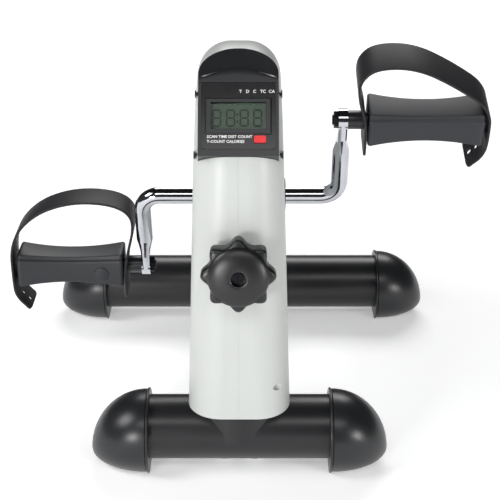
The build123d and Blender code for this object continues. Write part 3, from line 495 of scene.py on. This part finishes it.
def lcd_bar(name, u, v, upright):
    """One bar of a digit: a flat plane with pointed ends, raised a hair off the glass."""
    deselect()
    bpy.ops.mesh.primitive_plane_add(size=1, location=(0, 0, 0))
    bar = bpy.context.object
    bar.name = name
    bpy.ops.object.mode_set(mode="EDIT")
    bpy.ops.mesh.select_all(action="SELECT")
    bpy.ops.transform.resize(value=((SEGMENT_LONG - 2 * SEGMENT_HALF) * MM, 2 * SEGMENT_HALF * MM, 1))
    mesh = bmesh.from_edit_mesh(bar.data)
    tips = [edge for edge in mesh.edges if abs(edge.verts[0].co.x - edge.verts[1].co.x) < SAME_X]
    for edge in tips:
        tip = bmesh.ops.subdivide_edges(mesh, edges=[edge], cuts=1)["geom_inner"][0]
        tip.co.x += math.copysign(SEGMENT_HALF * MM * SEGMENT_POINT, tip.co.x)
    bmesh.update_edit_mesh(bar.data)
    bpy.ops.mesh.select_all(action="SELECT")
    bpy.ops.mesh.extrude_region_move(TRANSFORM_OT_translate={"value": (0, 0, LCD_INK * MM)})
    bpy.ops.mesh.select_all(action="SELECT")
    bpy.ops.mesh.normals_make_consistent(inside=False)
    bpy.ops.object.mode_set(mode="OBJECT")
    slant = Matrix.Rotation(math.pi / 2, 4, "Z") if upright else Matrix.Identity(4)
    bar.matrix_world = Matrix.Translation(Vector((u, v, LCD_SURFACE)) * MM) @ slant
    return bar


bars = []
for digit, centre in enumerate(DIGIT_CENTRES):
    for number, (du, dv, upright) in enumerate((
        (0, DIGIT_HIGH, False), (0, 0, False), (0, -DIGIT_HIGH, False),
        (-SEGMENT_LONG / 2, DIGIT_HIGH / 2, True), (SEGMENT_LONG / 2, DIGIT_HIGH / 2, True),
        (-SEGMENT_LONG / 2, -DIGIT_HIGH / 2, True), (SEGMENT_LONG / 2, -DIGIT_HIGH / 2, True),
    )):
        bars.append(lcd_bar(f"bar_{digit}_{number}", centre + du, DIGIT_V + dv, upright))


def joined(name, pieces):
    """Join pieces into one, with its place kept in its mesh."""
    deselect()
    for piece in pieces:
        piece.select_set(True)
    bpy.context.view_layer.objects.active = pieces[0]
    bpy.ops.object.transform_apply(location=True, rotation=True, scale=True)
    bpy.ops.object.join()
    pieces[0].name = name
    pieces[0].data.name = name
    return pieces[0]


def rounded_disc(radius, thick, place, turn, sides, edge, steps):
    """A short round or many-sided bar with its edges rounded over; sizes and place in mm."""
    deselect()
    bpy.ops.mesh.primitive_cylinder_add(vertices=sides, radius=radius * MM, depth=thick * MM,
                                        location=Vector(place) * MM, rotation=turn)
    bpy.ops.object.mode_set(mode="EDIT")
    bpy.ops.mesh.select_all(action="SELECT")
    bpy.ops.mesh.bevel(offset=edge * MM, segments=steps)
    bpy.ops.object.mode_set(mode="OBJECT")
    return bpy.context.object


# The colon's two dots, and the small arrows that point at the printed functions.
MARK_W, MARK_EDGE, FLAT = LCD_SURFACE + LCD_MARK_LIFT, 0.008, (0, 0, 0)
bars += [rounded_disc(COLON_R, LCD_INK, (COLON_U, DIGIT_V + v, MARK_W), FLAT, 16, MARK_EDGE, 1) for v in COLON_VS]
bars += [rounded_disc(ARROW_R, LCD_INK, (u, ARROW_V, MARK_W), FLAT, 3, MARK_EDGE, 1) for u in ARROW_US]
digits = joined("lcd_digits", bars)
digits.data.materials.append(dyed("liquid_crystal_dark", "151d18", "1d2620", 0.4, 300.0, 0.01))
settle(digits, face_frame)
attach(digits, "root")

INK_LIFT, INK_HALF_THICK, INK_SPREAD = 0.02, 0.03, 0.05


def printed(name, words, u, v, size):
    """Words screen printed on the face plate: text made a mesh a hair thick."""
    deselect()
    bpy.ops.object.text_add(location=(u * MM, v * MM, INK_LIFT * MM))
    text = bpy.context.object
    text.name = name
    text.data.body = words
    text.data.size = size * MM
    text.data.extrude = INK_HALF_THICK * MM
    text.data.offset = INK_SPREAD * MM
    text.data.resolution_u = 2
    bpy.ops.object.convert(target="MESH")
    return bpy.context.object


words = joined("printed_marks", [
    printed("row_marks", "T   D   C   TC  CA", 0.6, 47.0, 3.3),
    printed("words_high", "SCAN TIME DIST COUNT", -22.6, 13.4, 2.9),
    printed("words_low", "T-COUNT CALORIES", -22.6, 9.8, 2.9),
])
words.data.materials.append(dyed("screen_print_white", "e4e4e4", "f2f2f2", 0.6, 300.0, 0.02))
settle(words, face_frame)
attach(words, "root")

# The face carries on past its upper fold as a low arched ridge, which shades the glass.
VISOR_FALL = math.radians(24.6)
FOLD_V = 57.1
RIDGE_HALF, RIDGE_RISE, RIDGE_EDGE = 28.6, 7.5, 0.15
RIDGE_BEHIND, RIDGE_BEFORE, RIDGE_SUNK, RIDGE_LIFT = 2.4, 0.4, 0.8, 0.02
RIDGE_LIP = Vector((0.1, -0.12))
RIDGE_STEPS = 48


def ridge_outlines():
    """A low wedge over the fold: along the face to its crest, and back down to the visor."""
    outlines = []
    for step in range(RIDGE_STEPS + 1):
        u = RIDGE_HALF * (2 * step / RIDGE_STEPS - 1)
        rise = RIDGE_EDGE + RIDGE_RISE * (1 - (u / RIDGE_HALF) ** 2)
        crest = Vector((FOLD_V + rise, 0.0))
        behind = rise * math.cos(VISOR_FALL) + RIDGE_BEHIND
        foot = Vector((FOLD_V + behind * math.cos(VISOR_FALL), -behind * math.sin(VISOR_FALL)))
        start = Vector((FOLD_V - RIDGE_BEFORE, RIDGE_LIFT))
        sunk = Vector((0, -RIDGE_SUNK))
        section = [start, start.lerp(crest, 0.5), start.lerp(crest, 0.95), crest + RIDGE_LIP,
                   crest.lerp(foot, 0.3), foot, foot + sunk, start + sunk]
        outlines.append([Vector((u, v, w)) * MM for v, w in section])
    return outlines


ridge = lofted("visor_ridge", ridge_outlines())
ridge.data.materials.append(cap_plastic)
settle(ridge, face_frame)
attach(ridge, "root")


# ------------------------------------------------------------------ pedals
# Waisted blocks moulded in black nylon, with a stepped lip along the upper front edge, a round recess at the
# outer end where the axle's head sits, and a peg for the strap. The mould was lightly blasted: the skin is dark
# slate and dull on the faces, with a highlight painted paler along every sharp edge.
def chamfered(points, radius, steps):
    """Round every corner of a closed outline of (a, b) points with short arcs."""
    rounded = []
    for before, corner, after in zip(points[-1:] + points[:-1], points, points[1:] + points[:1]):
        here = Vector(corner)
        start = here + (Vector(before) - here).normalized() * radius
        end = here + (Vector(after) - here).normalized() * radius
        for step in range(steps + 1):
            t = step / steps
            rounded.append(start * (1 - t) ** 2 + here * 2 * t * (1 - t) + end * t * t)
    return rounded


PEDAL_HALF_Y, PEDAL_HALF_Z, PEDAL_CORNER = 16.4, 15.2, 1.6
PEDAL_LIP = [(-13.4, PEDAL_HALF_Z), (-13.9, 11.4), (-PEDAL_HALF_Y, 10.2)]
PEDAL_SECTION = chamfered([(-PEDAL_HALF_Y, -PEDAL_HALF_Z), (PEDAL_HALF_Y, -PEDAL_HALF_Z),
                           (PEDAL_HALF_Y, PEDAL_HALF_Z)] + PEDAL_LIP, PEDAL_CORNER, 4)
PEDAL_IN, PEDAL_OUT, PEDAL_WAIST = 102.4, 194.2, 3.6
PEDAL_END_ROUND, PEDAL_END_DRAWN = 2.4, 1.4
PEDAL_STATIONS = [0.0, 0.6, 1.4, 2.4] + [4.0 + 3.37 * step for step in range(26)] + [89.4, 90.4, 91.2, 91.8]
PEDAL_TILTS = {"left": 0.0, "right": -20.0}
RECESS_R, RECESS_TOOL = 7.6, 10.0
GATE_R, GATE_THICK, GATE_FROM_IN, GATE_Y, GATE_Z = 6.6, 2.4, 18.5, -13.9, -3.6
PEG_Z = -10.2
PEG_PARTS = ((193.7, 199.8, 2.3), (199.6, 200.6, 3.4))
ALONG_X, ALONG_Y = (0, math.pi / 2, 0), (math.pi / 2, 0, 0)


def pedal_outlines(side):
    """The pedal's section carried along its axle, drawn in at the waist and rounded at both ends."""
    outlines = []
    middle = (PEDAL_OUT - PEDAL_IN) / 2
    for along in PEDAL_STATIONS:
        waist = PEDAL_WAIST * (1 - ((along - middle) / middle) ** 2)
        from_end = min(along, 2 * middle - along)
        drawn = PEDAL_END_DRAWN * (1 - min(from_end / PEDAL_END_ROUND, 1.0)) ** 2
        across = 1 - (waist + drawn) / PEDAL_HALF_Y
        upright = 1 - (waist + drawn) / PEDAL_HALF_Z
        outlines.append([Vector((side * (PEDAL_IN + along), y * across, z * upright)) * MM
                         for y, z in PEDAL_SECTION])
    return outlines


def cut_away(piece, tool):
    """Cut a tool's shape out of a piece, and throw the tool away."""
    deselect()
    piece.select_set(True)
    bpy.context.view_layer.objects.active = piece
    cut = piece.modifiers.new("cut", "BOOLEAN")
    cut.operation = "DIFFERENCE"
    cut.object = tool
    bpy.ops.object.modifier_apply(modifier=cut.name)
    bpy.data.objects.remove(tool)


# Its edge colour is a painted highlight along the block's sharp edges.
pedal_nylon = moulded("blasted_nylon_slate_black", ("15161a", "212328"), cloud=(38.0, 5.0, 0.5), gloss=(0.40, 0.55),
                      grain=(1.0, 3.0), bump=0.2, ior=1.5, edge_highlight=("2e3035", 0.50, 0.58))

pedal_frames = {}
for side_name, side in (("left", -1), ("right", 1)):
    axle = Vector(joints[f"{side_name}_pedal_turn"]["pos_m"])
    axle.x = 0
    tilt = Matrix.Rotation(math.radians(-PEDAL_TILTS[side_name]), 4, "X")
    pedal_frames[side_name] = Matrix.Translation(axle) @ tilt
    block = lofted(f"{side_name}_pedal_block", pedal_outlines(side))
    deselect()
    bpy.ops.mesh.primitive_cylinder_add(vertices=48, radius=RECESS_R * MM, depth=RECESS_TOOL * MM,
                                        location=(side * PEDAL_OUT * MM, 0, 0), rotation=ALONG_X)
    cut_away(block, bpy.context.object)

    # The left pedal shows its front face, with the round mark of the mould's gate.
    parts = [block]
    if side_name == "left":
        gate_at = (side * (PEDAL_IN + GATE_FROM_IN), GATE_Y, GATE_Z)
        parts.append(rounded_disc(GATE_R, GATE_THICK, gate_at, ALONG_Y, 64, 0.5, 3))
    for peg_from, peg_to, peg_r in PEG_PARTS:
        peg_at = (side * (peg_from + peg_to) / 2, 0, PEG_Z)
        parts.append(rounded_disc(peg_r, peg_to - peg_from, peg_at, ALONG_X, 32, 0.25, 2))
    pedal_piece = joined(f"{side_name}_pedal_block", parts)
    bpy.ops.object.shade_smooth_by_angle(angle=SMOOTH_ANGLE)
    settle(pedal_piece, pedal_frames[side_name])
    pedal_piece.data.materials.append(pedal_nylon)
    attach(pedal_piece, f"{side_name}_pedal")
    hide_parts(f"{side_name}_pedal")


# ------------------------------------------------------------------ foot straps
# Flat bands moulded in soft black PVC, 33 by 2 mm, slipped over the axle at the pedal's inner end and
# buttoned on a peg at the outer end, where the spare tail hangs with its adjusting holes. The ends are rounded
# off, and a highlight is painted along the edges, a little paler than the dull faces.
STRAP_ROUTES = {
    "left": [(100.7, -26), (100.7, 6), (92.2, 36), (93.2, 54), (112.0, 64.0), (146.0, 65.0), (178.0, 53.0),
             (198.4, 28), (198.4, -10), (197.0, -24), (185.0, -37)],
    "right": [(100.7, -26), (100.7, 6), (92.5, 34), (93.5, 51), (106.0, 62.5), (136.0, 62.0), (168.0, 44.0),
              (196.8, 22), (198.4, -6), (197.0, -24), (185.0, -37)],
}
STRAP_HALF, STRAP_HALF_THICK, STRAP_CORNER = 16.5, 1.0, 0.7
STRAP_SECTION = chamfered([(-STRAP_HALF, -STRAP_HALF_THICK), (STRAP_HALF, -STRAP_HALF_THICK),
                           (STRAP_HALF, STRAP_HALF_THICK), (-STRAP_HALF, STRAP_HALF_THICK)], STRAP_CORNER, 3)
STRAP_END = [0.66, 0.84, 0.94, 0.99]
STRAP_CUTS = 3
TAIL_OUT = (0.735, -0.678)
STRAP_HOLES = [((198.4, 14.0), (1.0, 0.0)), ((198.4, 2.0), (1.0, 0.0)), ((193.4, -27.9), TAIL_OUT),
               ((188.0, -33.7), TAIL_OUT)]
HOLE_R, PUNCH_LONG = 2.6, 8.0


def cut_corners(points, rounds):
    """Smooth a route by cutting each corner, again and again, and keep its two ends."""
    points = [Vector(point) for point in points]
    for _ in range(rounds):
        cut = [points[0]]
        for start, end in zip(points, points[1:]):
            cut += [start.lerp(end, 0.25), start.lerp(end, 0.75)]
        points = cut + [points[-1]]
    return points


def strap_outlines(side_name, side):
    """The band's section carried along its route, in the pedal's own upright frame."""
    route = cut_corners(STRAP_ROUTES[side_name], STRAP_CUTS)
    outlines = []
    for number, point in enumerate(route):
        before, after = route[max(number - 1, 0)], route[min(number + 1, len(route) - 1)]
        along = (after - before).normalized()
        across = Vector((along.y, -along.x))
        from_end = min(number, len(route) - 1 - number)
        narrowed = STRAP_END[from_end] if from_end < len(STRAP_END) else 1.0
        outline = []
        for wide, thick in STRAP_SECTION:
            place = point + across * thick
            outline.append(Vector((side * place.x, wide * narrowed, place.y)) * MM)
        outlines.append(outline)
    return outlines


# Its edge colour is a painted highlight along the band's edges.
strap_pvc = moulded("moulded_soft_pvc_black", ("1a191c", "252327"), cloud=(30.0, 4.0, 0.5), gloss=(0.48, 0.60),
                    grain=(0.8, 2.0), bump=0.15, ior=1.38, edge_highlight=("4c494e", 0.54, 0.64))

for side_name, side in (("left", -1), ("right", 1)):
    band = lofted(f"{side_name}_strap_band", strap_outlines(side_name, side))
    for (hole_x, hole_z), (out_x, out_z) in STRAP_HOLES:
        deselect()
        bpy.ops.mesh.primitive_cylinder_add(vertices=32, radius=HOLE_R * MM, depth=PUNCH_LONG * MM,
                                            location=(side * hole_x * MM, 0, hole_z * MM),
                                            rotation=(0, math.atan2(side * out_x, out_z), 0))
        cut_away(band, bpy.context.object)
    bpy.ops.object.shade_smooth_by_angle(angle=SMOOTH_ANGLE)
    settle(band, pedal_frames[side_name])
    band.data.materials.append(strap_pvc)
    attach(band, f"{side_name}_pedal")
    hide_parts(f"{side_name}_strap")
